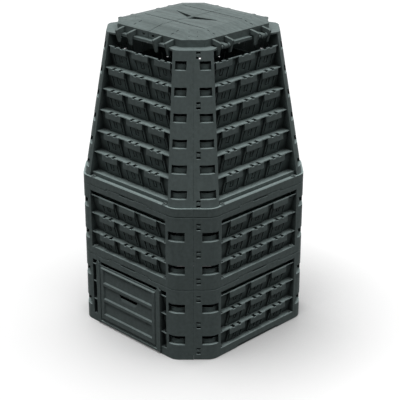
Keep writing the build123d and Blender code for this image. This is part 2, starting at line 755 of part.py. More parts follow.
def rail_arms(points, positions):
    """Arms of one lid edge, as shapes with X outwards and Y up, thickened along the edge."""
    with BuildPart() as arms:
        for place in positions:
            with BuildSketch(Plane.XZ.offset(-place)):
                Polygon(*points, align=None)
            extrude(amount=ARM_WIDTH / 2, both=True)
    return arms.part


def hinge_ears():
    """Ears on the right-hand top rail that hold the hinge pins."""
    with BuildPart() as ears:
        for side in (-1, 1):
            for offset in (-EAR_OFFSET, EAR_OFFSET):
                with BuildSketch(Plane.XZ.offset(-side * HINGE_Y - offset)):
                    with Locations((HINGE_X, HINGE_Z)):
                        Circle(EAR_RADIUS)
                    with Locations(((MOUTH_HALF + HINGE_X) / 2, TOP - RAIL_HEIGHT / 2)):
                        Rectangle(HINGE_X - MOUTH_HALF, RAIL_HEIGHT)
                    with Locations((HINGE_X, HINGE_Z)):
                        Circle(PIN_RADIUS + PIN_CLEARANCE, mode=Mode.SUBTRACT)
                extrude(amount=EAR_THICKNESS / 2, both=True)
    return ears.part


def hinge_gaps():
    """Spaces in the right-hand top rail where the lid arms and rings swing."""
    length = ARM_POSITIONS[1] - ARM_POSITIONS[0] + ARM_WIDTH + 2 * NOTCH_SIDE_GAP
    depth = RAIL_DEPTH - NOTCH_BACK
    with BuildPart() as gaps:
        with Locations(*[(RAIL_FRONT - depth, side * HINGE_Y, TOP) for side in (-1, 1)]):
            Box(
                2 * depth,
                length,
                4 * RAIL_HEIGHT,
                align=(Align.MIN, Align.CENTER, Align.CENTER),
            )
    return gaps.part


def upper_panel():
    """Tall tapered panel with six louvre rows and the recessed top rail."""
    low_middle = TAPER_HALF_WIDTH - TAPER_CORNER_LEG / 2
    top_middle = TOP_HALF_WIDTH - TOP_CORNER_LEG / 2
    ends = ((-low_middle, -low_middle, TAPER_BASE), (-top_middle, -top_middle, TOP))
    windows = snap_shapes(UPPER_SNAP_LEVELS, -1, *ends)[0]
    ends = ((low_middle, -low_middle, TAPER_BASE), (top_middle, -top_middle, TOP))
    hooks = snap_shapes(UPPER_SNAP_LEVELS, 1, *ends)[1]
    rows = louvre_rows(
        upper_face,
        UPPER_LEVELS,
        UPPER_FIELD_LOW_HALF,
        PAD_CENTRES,
        UPPER_PAD_FRONT,
        UPPER_LEDGE_DEPTH,
        UPPER_ROWS,
    )
    field = field_opening(TAPER_BASE, TOP + 1, UPPER_FIELD_LOW_HALF, upper_field_half(TOP + 1))
    inner_field = field_opening(
        UPPER_BASE,
        TOP,
        upper_field_half(UPPER_BASE) + JAMB / 2,
        UPPER_FIELD_TOP_HALF + JAMB / 2,
    )
    kick_front = KICK_DEPTH - TAPER_HALF_WIDTH
    first = UPPER_LEVELS[0]
    kick = section(
        (kick_front, TAPER_BASE - FLANGE_THICKNESS),
        (kick_front, first),
        (upper_face(first) + UPPER_FIELD_DEPTH, first),
        (upper_face(first) + UPPER_FIELD_DEPTH, first - LEDGE_THICKNESS),
        (kick_front + LOUVRE_WALL, first - LEDGE_THICKNESS),
        (kick_front + LOUVRE_WALL, TAPER_BASE - FLANGE_THICKNESS),
    )
    rail = section(
        (-RAIL_FRONT, TOP),
        (-MOUTH_HALF, TOP),
        (-MOUTH_HALF, TOP - RAIL_HEIGHT),
        (-RAIL_FRONT, TOP - RAIL_HEIGHT),
    )
    shelf = lift(
        lower_outline(WALL / 2) - lower_outline(UPPER_STEP + KICK_DEPTH + LOUVRE_WALL),
        TAPER_BASE - FLANGE_THICKNESS,
    )
    tip_half = UPPER_FIELD_TOP_HALF - CAP_TIP
    cap = outline(TOP_HALF_WIDTH, TOP_CORNER_LEG, BEND_RADIUS, WALL / 2)
    cap = lift(cap - outline(MOUTH_HALF, MOUTH_CORNER_LEG, 0), TOP - CAP_THICKNESS)
    with BuildPart() as ring:
        extrude(cap, amount=CAP_THICKNESS)
        extrude(quarter(), amount=TOP, mode=Mode.INTERSECT)
        with BuildSketch(Plane.XY.offset(TOP)):
            Polygon(
                (-tip_half, -RAIL_FRONT),
                (tip_half, -RAIL_FRONT),
                (tip_half, CAP_TIP_SETBACK - TOP_HALF_WIDTH),
                (UPPER_FIELD_TOP_HALF, -TOP_HALF_WIDTH),
                (-UPPER_FIELD_TOP_HALF, -TOP_HALF_WIDTH),
                (-tip_half, CAP_TIP_SETBACK - TOP_HALF_WIDTH),
                align=None,
            )
        extrude(amount=2 * CAP_THICKNESS, both=True, mode=Mode.SUBTRACT)
        extrude(rail, amount=UPPER_FIELD_TOP_HALF + JAMB / 2, both=True)
    with BuildPart() as louvres:
        add(rows)
        extrude(kick, amount=UPPER_FIELD_LOW_HALF, both=True)
        add(inner_field, mode=Mode.INTERSECT)
        add(
            jambs(
                upper_face,
                TAPER_BASE,
                TOP,
                UPPER_FIELD_LOW_HALF,
                UPPER_FIELD_TOP_HALF,
                UPPER_FIELD_DEPTH,
            )
        )
    with BuildPart() as panel:
        extrude(lift(lower_outline(), UPPER_BASE), amount=UPPER_BAND)
        extrude(lift(lower_outline(WALL), UPPER_BASE), amount=UPPER_BAND, mode=Mode.SUBTRACT)
        add(tapered_block())
        add(tapered_block(WALL), mode=Mode.SUBTRACT)
        extrude(shelf, amount=FLANGE_THICKNESS)
        extrude(flange(UPPER_BASE), amount=FLANGE_THICKNESS)
        extrude(quarter(), amount=TOP, mode=Mode.INTERSECT)
        add(field, mode=Mode.SUBTRACT)
        add(louvres.part)
        add(ring.part)
        for top in UPPER_VENT_TOPS:
            foot = top - UPPER_VENT_HEIGHT
            tray = vent_trays(
                upper_half_width(foot),
                upper_corner_leg(foot),
                upper_field_half(foot),
                UPPER_VENT_SEAM_MARGIN,
            )
            tray_height = TRAY_FLOOR + UPPER_VENT_HEIGHT - UPPER_TRAY_TOP_GAP
            extrude(lift(tray[0], foot - TRAY_FLOOR), amount=tray_height)
            extrude(lift(tray[1], foot), amount=UPPER_VENT_HEIGHT, mode=Mode.SUBTRACT)
        add(windows, mode=Mode.SUBTRACT)
        add(hooks)
        add(tab_notch(UPPER_BASE), mode=Mode.SUBTRACT)
        add(seam_groove(UPPER_BASE), mode=Mode.SUBTRACT)
        add(peg_holes(UPPER_BASE - 1, HALF_WIDTH, UPPER_BAND + 2), mode=Mode.SUBTRACT)
    return panel.part


def hinged_panel(plain):
    """Right-hand upper panel: the plain one turned, with its top rail notched for the hinges."""
    with BuildPart() as panel:
        add(plain.rotate(Axis.Z, SIDES["right"]))
        add(hinge_gaps(), mode=Mode.SUBTRACT)
        add(hinge_ears())
    return panel.part


def lid_height(reach):
    """Height of a corner slope of the lid where the distances along X and Y add up to a reach."""
    inner = 2 * PLATEAU_HALF - PLATEAU_CORNER_LEG
    outer = 2 * LID_HALF - LID_CORNER_LEG
    return LID_TOP - LID_RISE * (reach - inner) / (outer - inner)


def recess_wedge(wall, top):
    """Finger recess that gets shallower and narrower along the lid, or the cup of a wall round it."""
    with BuildPart() as wedge:
        for index, outwards in ((0, -1), (1, 1)):
            wall_y = RECESS_WALL_YS[index]
            far_y = wall_y - RECESS_RUNS[index]
            with BuildSketch(Plane.YZ.offset(RECESS_ENDS[index] + outwards * wall)):
                Polygon(
                    (far_y - wall, top),
                    (wall_y + wall, top),
                    (wall_y + wall, LID_TOP - RECESS_DEPTHS[index] - wall),
                    (far_y - wall, LID_TOP - wall),
                    align=None,
                )
        loft(ruled=True)
    return wedge.part


def lid_flap():
    """Right-hand lid flap with its skirt, arms, hinge rings, grooves and finger recess."""
    skirt = outline(LID_HALF, LID_CORNER_LEG, 0)
    plateau = outline(PLATEAU_HALF, PLATEAU_CORNER_LEG, 0)
    inner_skirt = outline(LID_HALF, LID_CORNER_LEG, 0, LID_WALL)
    inner_plateau = outline(PLATEAU_HALF, PLATEAU_CORNER_LEG, 0, LID_WALL / 2)
    arm_top = LID_EDGE - LID_WALL
    arm_points = (
        (LID_HALF - LID_WALL / 2, arm_top),
        (TOP_HALF_WIDTH - LID_WALL, arm_top - 2 * LID_WALL),
        (TOP_HALF_WIDTH, arm_top - 3 * LID_WALL),
        (HINGE_X, TOP - ARM_DROP),
        (HINGE_X - 2 * LID_WALL, TOP - ARM_DROP),
        (RAIL_FRONT + LID_WALL, TOP + LID_WALL),
        (LID_HALF - LID_WALL / 2, TOP + LID_WALL),
    )
    with BuildPart() as hollow:
        extrude(lift(inner_skirt, LID_SEAT - 1), amount=LID_SKIRT + 1 - LID_WALL)
        loft(
            [lift(inner_skirt, LID_EDGE - LID_WALL), lift(inner_plateau, LID_TOP - LID_WALL)],
            ruled=True,
        )
        with Locations((SPLIT_GAP / 2 + SPLIT_WEB, 0, LID_SEAT)):
            Box(FAR, FAR, FAR, align=(Align.MIN, Align.CENTER, Align.CENTER), mode=Mode.INTERSECT)
    tongue_start = LID_HALF - LID_WALL / 2
    with BuildPart() as rings:
        for side in (-1, 1):
            with BuildSketch(Plane.XZ.offset(-side * HINGE_Y)):
                with Locations((HINGE_X, HINGE_Z)):
                    Circle(RING_RADIUS)
                with Locations(((tongue_start + HINGE_X) / 2, HINGE_Z + RING_RADIUS - TONGUE_PLATE / 2)):
                    Rectangle(HINGE_X - tongue_start, TONGUE_PLATE)
                with Locations((HINGE_X, HINGE_Z)):
                    Circle(PIN_RADIUS + PIN_CLEARANCE, mode=Mode.SUBTRACT)
                with Locations((HINGE_X, HINGE_Z - RING_RADIUS)):
                    Rectangle(RING_MOUTH, 2 * RING_RADIUS, mode=Mode.SUBTRACT)
            extrude(amount=RING_WIDTH / 2, both=True)
    side_arms = rail_arms(arm_points, ARM_POSITIONS)
    hinge_arms = rail_arms(arm_points, [side * place for side in (-1, 1) for place in ARM_POSITIONS])
    dashes = [PLATEAU_HALF + start + DASH_LENGTH / 2 for start in DASH_STARTS]
    dimples = [
        (reach + spread, side * (reach - spread), lid_height(2 * reach))
        for reach in DIMPLE_REACHES
        for spread in (-DIMPLE_SPREAD, DIMPLE_SPREAD)
        for side in (-1, 1)
    ]
    with BuildPart() as flap:
        extrude(lift(skirt, LID_SEAT), amount=LID_SKIRT)
        loft([lift(skirt, LID_EDGE), lift(plateau, LID_TOP)], ruled=True)
        with Locations((SPLIT_GAP / 2, 0, LID_SEAT)):
            Box(FAR, FAR, FAR, align=(Align.MIN, Align.CENTER, Align.CENTER), mode=Mode.INTERSECT)
        add(hollow.part, mode=Mode.SUBTRACT)
        add(recess_wedge(RECESS_CUP_WALL, LID_TOP - LID_WALL / 2))
        add(recess_wedge(0, LID_TOP + 1), mode=Mode.SUBTRACT)
        with Locations(*[(SPLIT_GAP / 2, side * GROOVE_Y, LID_TOP - LID_WALL / 2) for side in (-1, 1)]):
            Box(
                PLATEAU_HALF,
                GROOVE_WIDTH + 2 * GROOVE_FLOOR,
                GROOVE_DEPTH + GROOVE_FLOOR - LID_WALL / 2,
                align=(Align.MIN, Align.CENTER, Align.MAX),
            )
        add(hinge_arms)
        add(side_arms.rotate(Axis.Z, -90))
        add(side_arms.rotate(Axis.Z, 90).mirror(Plane.YZ))
        add(rings.part)
        with Locations(*[(PLATEAU_HALF / 2, side * GROOVE_Y, LID_TOP) for side in (-1, 1)]):
            Box(PLATEAU_HALF, GROOVE_WIDTH, 2 * GROOVE_DEPTH, mode=Mode.SUBTRACT)
        with Locations(*[(reach, side * GROOVE_Y, LID_EDGE) for side in (-1, 1) for reach in dashes]):
            Box(DASH_LENGTH, GROOVE_WIDTH, 2 * LID_RISE, mode=Mode.SUBTRACT)
        with Locations(*[(HINGE_Y, side * reach, LID_EDGE) for side in (-1, 1) for reach in dashes]):
            Box(GROOVE_WIDTH, DASH_LENGTH, 2 * LID_RISE, mode=Mode.SUBTRACT)
        with Locations(*dimples):
            Cylinder(DIMPLE_RADIUS, DIMPLE_DEPTH, mode=Mode.SUBTRACT)
        with Locations(*[(LATCH_X, side * LID_HALF, LID_SEAT + LID_SKIRT / 2) for side in (-1, 1)]):
            Box(LATCH_WIDTH, 4 * LID_WALL, LATCH_HEIGHT, mode=Mode.SUBTRACT)
    return flap.part


def hinge_pin(side):
    """Plain pin through a pair of ears, lying along Y."""
    length = 2 * EAR_OFFSET + EAR_THICKNESS + 2 * PIN_CLEARANCE
    with BuildPart() as pin:
        with BuildSketch(Plane.XZ.offset(-side * HINGE_Y)):
            with Locations((HINGE_X, HINGE_Z)):
                Circle(PIN_RADIUS)
        extrude(amount=length / 2, both=True)
    return pin.part


def tier_pegs(base, ledge):
    """Eight pegs that go down through a bottom rail into the flange under it."""
    with BuildPart() as pegs:
        for angle in SIDES.values():
            for side in (-1, 1):
                place = Vector(side * PEG_X, PEG_INSET - HALF_WIDTH, 0).rotate(Axis.Z, angle)
                with Locations((place.X, place.Y, ledge)):
                    Cylinder(
                        PEG_HEAD_RADIUS,
                        PEG_HEAD_HEIGHT,
                        align=(Align.CENTER, Align.CENTER, Align.MIN),
                    )
                    Cylinder(
                        PEG_RADIUS,
                        ledge - base + PEG_BITE,
                        align=(Align.CENTER, Align.CENTER, Align.MAX),
                    )
                with Locations((place.X, place.Y, ledge + PEG_HEAD_HEIGHT)):
                    Cylinder(PEG_EYE_RADIUS, 2 * PEG_EYE_DEPTH, mode=Mode.SUBTRACT)
    return pegs.part


def save(part, name):
    """Moves a finished piece so that the whole bin is centred, and writes it under its name."""
    centred = Pos(0, CENTRE_SHIFT, 0) * part
    centred.label = name
    export_step(centred, f"parts/{name}.step")


os.makedirs("parts", exist_ok=True)

straight_panel = lower_panel()
for side, angle in SIDES.items():
    base = door_panel() if side == "front" else straight_panel.rotate(Axis.Z, angle)
    save(base, f"base_panel_{side}")
    save(Pos(0, 0, TIER_HEIGHT) * straight_panel.rotate(Axis.Z, angle), f"middle_panel_{side}")

plain_upper = upper_panel()
hinged_upper = hinged_panel(plain_upper)
save(plain_upper, "upper_panel_front")
save(plain_upper.rotate(Axis.Z, SIDES["back"]), "upper_panel_back")
save(hinged_upper, "upper_panel_right")
save(hinged_upper.rotate(Axis.Z, SIDES["back"]), "upper_panel_left")

save(access_door(), "access_door")

right_flap = lid_flap()
save(right_flap, "lid_flap_right")
save(right_flap.mirror(Plane.YZ), "lid_flap_left")

for side, end in ((-1, "front"), (1, "back")):
    save(hinge_pin(side), f"hinge_pin_right_{end}")
    save(hinge_pin(side).mirror(Plane.YZ), f"hinge_pin_left_{end}")

save(tier_pegs(TIER_HEIGHT, TIER_HEIGHT + SILL_RAIL), "middle_tier_pegs")
save(tier_pegs(UPPER_BASE, TAPER_BASE), "upper_tier_pegs")
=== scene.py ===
# %% [markdown]
# # A louvred compost bin
# The bin is three stacked tiers of moulded panels, a lid in two hinged flaps and a sliding door.
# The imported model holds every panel, flap, pin and peg as its own object, already in place and
# in metres. This lesson photographs it: a camera, a floor with soft light from above, the finish
# of the recycled plastic that the panels are moulded from, and a rain flap behind each slot of the
# straight tiers.

import json
import math

import bmesh
import bpy
from mathutils import Matrix, Vector


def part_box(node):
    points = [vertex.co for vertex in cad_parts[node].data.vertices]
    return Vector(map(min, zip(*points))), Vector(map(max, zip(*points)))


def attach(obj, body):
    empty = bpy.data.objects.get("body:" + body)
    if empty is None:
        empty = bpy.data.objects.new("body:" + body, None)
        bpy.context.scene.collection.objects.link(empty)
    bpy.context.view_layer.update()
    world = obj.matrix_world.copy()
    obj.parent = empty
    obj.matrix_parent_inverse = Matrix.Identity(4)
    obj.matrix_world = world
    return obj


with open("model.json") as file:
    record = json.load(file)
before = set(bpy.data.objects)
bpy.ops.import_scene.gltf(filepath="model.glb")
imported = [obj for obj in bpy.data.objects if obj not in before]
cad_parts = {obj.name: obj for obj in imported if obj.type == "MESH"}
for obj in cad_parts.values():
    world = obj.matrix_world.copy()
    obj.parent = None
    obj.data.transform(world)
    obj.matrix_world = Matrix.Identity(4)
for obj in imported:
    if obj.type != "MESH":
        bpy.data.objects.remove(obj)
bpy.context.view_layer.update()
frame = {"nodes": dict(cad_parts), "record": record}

# %% [markdown]
# ## The camera
# A product photograph of a tall bin is taken from a few metres away with a long lens, a little
# above it and straight at a corner, so two faces show equally. We could place the camera by eye,
# but the corner posts fix it: an azimuth of 45 degrees, a modest height and the distance at which
# the far corners shrink as they do in the picture. The bin doesn't stand in the middle of the
# picture, so the camera aims a little to the right of the bin's middle and below it.

# %% Camera
AZIMUTH = 45.12
ELEVATION = 21.58
DISTANCE = 5.374
AIM_HEIGHT = 0.65
AIM_RIGHT = 0.0284
AIM_DOWN = 0.1020
LENS = 109.0

front_low, front_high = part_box("middle_panel_front")
back_low, back_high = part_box("middle_panel_back")
tier_half = (back_high.y - front_low.y) / 2
tier_middle = Vector((0.0, (front_low.y + back_high.y) / 2, AIM_HEIGHT))

azimuth = math.radians(AZIMUTH)
elevation = math.radians(ELEVATION)
to_camera = Vector(
    (
        math.sin(azimuth) * math.cos(elevation),
        -math.cos(azimuth) * math.cos(elevation),
        math.sin(elevation),
    )
)
camera_right = Vector((math.cos(azimuth), math.sin(azimuth), 0.0))
camera_up = to_camera.cross(camera_right)
eye = tier_middle + to_camera * DISTANCE
aim = tier_middle + camera_right * AIM_RIGHT - camera_up * AIM_DOWN

camera_data = bpy.data.cameras.new("photo_camera")
camera_data.lens = LENS
camera = bpy.data.objects.new("photo_camera", camera_data)
camera.location = eye
camera.rotation_euler = (aim - eye).to_track_quat("-Z", "Y").to_euler()
bpy.context.scene.collection.objects.link(camera)
bpy.context.scene.camera = camera
print("camera at", [round(value, 3) for value in eye], "lens", LENS)

# %% [markdown]
# ## Small steps in node trees
# The sky, the floor and the plastic are all node trees, and the same few steps turn up in each: a
# sum on two values, a product of several, a value spread between two others, and a choice of two
# shaders. Linked by hand each time, they would bury the idea, so each step is a helper that adds
# its nodes to a tree and returns the socket with the result.

# %% Node helpers
def math_node(tree, operation, first, second):
    """Result of a Math node, whose second input is a socket or a number."""
    node = tree.nodes.new("ShaderNodeMath")
    node.operation = operation
    tree.links.new(first, node.inputs[0])
    if isinstance(second, float):
        node.inputs[1].default_value = second
    else:
        tree.links.new(second, node.inputs[1])
    return node.outputs[0]


def product(tree, *factors):
    """Product of grey values."""
    result = factors[0]
    for factor in factors[1:]:
        result = math_node(tree, "MULTIPLY", result, factor)
    return result


def ramp(tree, factor, low, high, at_low, at_high):
    """A value that goes from one number to another as a factor goes from low to high."""
    node = tree.nodes.new("ShaderNodeMapRange")
    node.inputs["From Min"].default_value = low
    node.inputs["From Max"].default_value = high
    node.inputs["To Min"].default_value = at_low
    node.inputs["To Max"].default_value = at_high
    tree.links.new(factor, node.inputs["Value"])
    return node.outputs["Result"]


def choice(tree, factor, at_zero, at_one):
    """Shader that is one where a factor is 0 and another where it is 1."""
    node = tree.nodes.new("ShaderNodeMixShader")
    tree.links.new(factor, node.inputs["Fac"])
    tree.links.new(at_zero, node.inputs[1])
    tree.links.new(at_one, node.inputs[2])
    return node.outputs[0]


def own_place(tree):
    """Place of a point in its object's own metres."""
    return tree.nodes.new("ShaderNodeTexCoord").outputs["Object"]


def seen_directly(tree):
    """A value of 1 for rays from the camera, a reflection or a clear body, and 0 for bounced light."""
    path = tree.nodes.new("ShaderNodeLightPath")
    first = math_node(tree, "MAXIMUM", path.outputs["Is Camera Ray"], path.outputs["Is Glossy Ray"])
    return math_node(tree, "MAXIMUM", first, path.outputs["Is Transmission Ray"])


print("helpers ready: math_node, product, ramp, choice, own_place, seen_directly")

# %% [markdown]
# ## Light from above
# The flat lid is far lighter than the upright posts, and the leaning upper posts are lighter than
# the straight ones under them. Only a broad soft light overhead does that. A sun lamp with a wide
# angle is such a light: its strength of pi makes a level white sheet come out white, so colours
# render about as they are written. The world adds a weak fill from all sides, and is plain white
# only to the camera and to reflections.

# %% Lamp
LAMP_SPREAD = 88.0
LAMP_HEIGHT = 3.0

lamp_data = bpy.data.lights.new("overhead_light", "SUN")
lamp_data.energy = math.pi
lamp_data.angle = math.radians(LAMP_SPREAD)
lamp = bpy.data.objects.new("overhead_light", lamp_data)
lamp.location = (0.0, 0.0, LAMP_HEIGHT)
bpy.context.scene.collection.objects.link(lamp)
print("lamp spread", LAMP_SPREAD, "degrees")

# %% World
FILL_STRENGTH = 0.012
WHITE = (1.0, 1.0, 1.0, 1.0)

world = bpy.data.worlds.new("studio")
bpy.context.scene.world = world
world.use_nodes = True
sky = world.node_tree
sky.nodes.clear()
fill = sky.nodes.new("ShaderNodeBackground")
fill.inputs["Strength"].default_value = FILL_STRENGTH
white = sky.nodes.new("ShaderNodeBackground")
white.inputs["Color"].default_value = WHITE
white.inputs["Strength"].default_value = 1.0
either = choice(sky, seen_directly(sky), fill.outputs[0], white.outputs[0])
sky_output = sky.nodes.new("ShaderNodeOutputWorld")
sky.links.new(either, sky_output.inputs["Surface"])
bpy.context.scene.view_settings.view_transform = "Standard"
print("world fill", FILL_STRENGTH)

# %% [markdown]
# ## The floor
# The bin stands on a white sweep with a faint shadow round its foot. A plain white floor would
# also throw light up at the posts, which stay dark in the picture. So the floor is white to the
# camera and dark to bounced light. A little glow lifts it to pure white away from the bin, where
# the soft shadow runs out. The lamp alone gives too thin a shadow for a heavy bin, so a painted
# shadow greys the paper towards the foot, where ambient occlusion finds that the bin shuts out the
# room, and more so on the picture's right. Under the bin the paper is painted dark as shade, so
# the slots look into the dark.

# %% Shade of the floor
CONTACT_REACH = 0.6
CONTACT_DEEPEST = 0.5
CONTACT_SHADE = 0.5
CONTACT_SPAN = 0.6
CONTACT_LEFT = 0.1
SHADE_PATCH_HALF = 0.385
SHADE_PATCH_CORNER = 0.62


def whiteness_under_painted_shadow(tree):
    """White of the paper, less where a painted shadow greys it towards the bin's foot, above all on
    the picture's right.
    """
    contact = tree.nodes.new("ShaderNodeAmbientOcclusion")
    contact.inputs["Distance"].default_value = CONTACT_REACH
    # painted shadow: the paper greys towards the bin's foot, and more so on the picture's right
    painted_shadow = ramp(tree, contact.outputs["AO"], CONTACT_DEEPEST, 1.0, 1.0 - CONTACT_SHADE, 0.0)
    across = tree.nodes.new("ShaderNodeVectorMath")
    across.operation = "DOT_PRODUCT"
    across.inputs[1].default_value = camera_right
    tree.links.new(own_place(tree), across.inputs[0])
    weight = ramp(tree, across.outputs["Value"], -CONTACT_SPAN, CONTACT_SPAN, CONTACT_LEFT, 1.0)
    return ramp(tree, product(tree, painted_shadow, weight), 0.0, 1.0, 1.0, 0.0)


def beyond_the_shade_patch(tree):
    """A value of 1 outside a square with cut corners at the floor's middle, painted dark as shade, and
    0 on it.
    """
    distance = tree.nodes.new("ShaderNodeVectorMath")
    distance.operation = "ABSOLUTE"
    tree.links.new(own_place(tree), distance.inputs[0])
    axes = tree.nodes.new("ShaderNodeSeparateXYZ")
    tree.links.new(distance.outputs["Vector"], axes.inputs[0])
    straight = math_node(tree, "MAXIMUM", axes.outputs["X"], axes.outputs["Y"])
    slanted = math_node(tree, "ADD", axes.outputs["X"], axes.outputs["Y"])
    slanted = math_node(tree, "MULTIPLY", slanted, SHADE_PATCH_HALF / SHADE_PATCH_CORNER)
    return math_node(tree, "GREATER_THAN", math_node(tree, "MAXIMUM", straight, slanted), SHADE_PATCH_HALF)


print("soil", 2 * SHADE_PATCH_HALF, "m square, shade over", CONTACT_REACH, "m")

# %% Floor
FLOOR_SIZE = 60.0
FLOOR_DROP = 0.0005
FLOOR_GLOW = 0.09
FLOOR_BOUNCE = (0.02, 0.02, 0.02, 1.0)


def floor_paper():
    """Paper that is white to the camera, with a square painted dark as shade in its middle, and dark
    to bounced light.
    """
    material = bpy.data.materials.new("studio_floor")
    material.use_nodes = True
    tree = material.node_tree
    tree.nodes.clear()
    lit = tree.nodes.new("ShaderNodeBsdfDiffuse")
    tree.links.new(whiteness_under_painted_shadow(tree), lit.inputs["Color"])
    glow = tree.nodes.new("ShaderNodeEmission")
    glow.inputs["Strength"].default_value = FLOOR_GLOW
    paper = tree.nodes.new("ShaderNodeAddShader")
    tree.links.new(lit.outputs[0], paper.inputs[0])
    tree.links.new(glow.outputs[0], paper.inputs[1])
    dark = tree.nodes.new("ShaderNodeBsdfDiffuse")
    dark.inputs["Color"].default_value = FLOOR_BOUNCE
    # the square under the bin is painted dark as shade, so the slots look into the dark
    visible = product(tree, seen_directly(tree), beyond_the_shade_patch(tree))
    surface = choice(tree, visible, dark.outputs[0], paper.outputs[0])
    output = tree.nodes.new("ShaderNodeOutputMaterial")
    tree.links.new(surface, output.inputs["Surface"])
    return material


bpy.ops.mesh.primitive_plane_add(size=FLOOR_SIZE, location=(0.0, 0.0, -FLOOR_DROP))
floor = bpy.context.object
floor.name = "studio_floor"
floor.data.materials.append(floor_paper())
print("floor", FLOOR_SIZE, "m square")

# %% [markdown]
# ## Moulded recycled plastic: the melt
# The panels are moulded from recycled plastic: a grey-green that is mottled over a centimetre or
# two, with a trace of flow marks where the melt ran along the mould. One flat colour would look
# like paper, so two noises vary it: a round one for the mottling, and one that a Mapping node
# stretches along the flow for the marks. Both read Object coordinates, so they stay in place on
# each piece in every pose.

# %% Mottling and flow marks
MOTTLE_SCALE = 70.0
MOTTLE_DETAIL = 3.0
STREAK_SCALE = 55.0
STREAK_DETAIL = 2.0
NOISE_SPAN = (0.3, 0.7)
ALL_ROUND = (1.0, 1.0, 1.0)
FLOW_DOWN = (1.0, 1.0, 0.08)
FLOW_ALONG = (0.08, 1.0, 1.0)


def noise(tree, scale, detail, stretch=ALL_ROUND):
    """Noise in the object's own metres, drawn out along an axis where the stretch is under 1."""
    mapping = tree.nodes.new("ShaderNodeMapping")
    mapping.inputs["Scale"].default_value = stretch
    texture = tree.nodes.new("ShaderNodeTexNoise")
    texture.inputs["Scale"].default_value = scale
    texture.inputs["Detail"].default_value = detail
    tree.links.new(own_place(tree), mapping.inputs["Vector"])
    tree.links.new(mapping.outputs["Vector"], texture.inputs["Vector"])
    return texture.outputs["Fac"]


def varied(tree, pattern, share):
    """A factor near 1 that a noise pattern varies by a share either way."""
    return ramp(tree, pattern, *NOISE_SPAN, 1.0 - share, 1.0 + share)


print("mottling of", round(1000 / MOTTLE_SCALE), "mm, flow marks of", round(1000 / STREAK_SCALE), "mm")

# %% [markdown]
# ## Moulded recycled plastic: wear, painted shade and painted light
# Outer edges are lighter, partly from sun and handling, partly as a painted highlight where the
# rounded edges would catch the light, and the louvres' recesses are darker as painted shade.
# Ambient occlusion finds both: traced into the wall it finds outer edges, traced outwards it finds
# recesses, and kept to the piece itself it is the same in every pose. Level faces that are half
# sheltered, such as ledges and sills, are lightened as painted light from above. The surface normal
# finds the first. Open faces and the depths are left out, so the same ambient occlusion finds the
# second.

# %% Wear and highlight, painted shade and painted light
OPENNESS_SAMPLES = 8
EDGE_REACH = 0.003
EDGE_SPAN = (0.5, 0.95)
EDGE_LIGHT = 1.35
RECESS_REACH = 0.06
RECESS_SPAN = (0.35, 0.8)
PAINTED_RECESS_SHADE = 0.25
LEVEL_SPAN = (0.5, 0.9)
DEEP_CUTOFF_SPAN = (0.25, 0.45)
OPEN_CUTOFF_SPAN = (0.7, 0.95)


def openness(tree, reach, inwards):
    """Share of rays of a reach that meet no other face of the piece, traced out of it or into it."""
    node = tree.nodes.new("ShaderNodeAmbientOcclusion")
    node.samples = OPENNESS_SAMPLES
    node.inside = inwards
    node.only_local = True
    node.inputs["Distance"].default_value = reach
    return node.outputs["AO"]


def worn_and_highlit_edges(tree):
    """A factor over 1 along outer edges, where the wall is thin: wear and a painted highlight."""
    # lighter outer edges: partly wear, partly a painted highlight
    return ramp(tree, openness(tree, EDGE_REACH, True), *EDGE_SPAN, EDGE_LIGHT, 1.0)


def painted_ledge_light(tree, outlook, ledge_light):
    """A factor that is 1 elsewhere and goes up to a factor of painted light on level, half sheltered
    faces.
    """
    facing = tree.nodes.new("ShaderNodeSeparateXYZ")
    tree.links.new(tree.nodes.new("ShaderNodeNewGeometry").outputs["Normal"], facing.inputs[0])
    # painted light: level faces that are half sheltered come out lighter
    level = ramp(tree, facing.outputs["Z"], *LEVEL_SPAN, 0.0, 1.0)
    out_of_depths = ramp(tree, outlook, *DEEP_CUTOFF_SPAN, 0.0, 1.0)
    half_sheltered = ramp(tree, outlook, *OPEN_CUTOFF_SPAN, 1.0, 0.0)
    return ramp(tree, product(tree, level, out_of_depths, half_sheltered), 0.0, 1.0, 1.0, ledge_light)


print("edges", EDGE_LIGHT, "times as light, recesses down to", PAINTED_RECESS_SHADE)

# %% [markdown]
# ## Moulded recycled plastic: grain and edges
# A fine matte grain covers all of it, and slightly rounded edges catch the light. The panels'
# meshes are loose triangles and aren't to be changed, so a Bevel node rounds their edges in the
# shading, and a Bump node lays the grain over that.

# %% Grain and rounded edges
GRAIN_SCALE = 750.0
GRAIN_DETAIL = 2.0
GRAIN_STRENGTH = 0.35
GRAIN_HEIGHT = 0.00035
EDGE_RADIUS = 0.0022
EDGE_SAMPLES = 6


def grained_normal(tree):
    """Surface normal with rounded edges and a fine grain."""
    edge = tree.nodes.new("ShaderNodeBevel")
    edge.samples = EDGE_SAMPLES
    edge.inputs["Radius"].default_value = EDGE_RADIUS
    bump = tree.nodes.new("ShaderNodeBump")
    bump.inputs["Strength"].default_value = GRAIN_STRENGTH
    bump.inputs["Distance"].default_value = GRAIN_HEIGHT
    tree.links.new(noise(tree, GRAIN_SCALE, GRAIN_DETAIL), bump.inputs["Height"])
    tree.links.new(edge.outputs["Normal"], bump.inputs["Normal"])
    return bump.outputs["Normal"]


print("edges rounded to", EDGE_RADIUS, "m")

# %% [markdown]
# ## Moulded recycled plastic: the finish
# The finish multiplies the plastic's colour by all of these factors, so the painted shade and the
# painted light are in the colour itself. Lighter spots of the mottling are also a little smoother.
# Panels, door, lid, pins and pegs are of the same plastic, but differ in tone, in the way that the
# melt ran and in how much painted light their level faces get, so each kind of piece gets its own
# finish from one function.

# %% Finish
SPECULAR = 0.05
ROUGH = 0.6
SMOOTH = 0.48


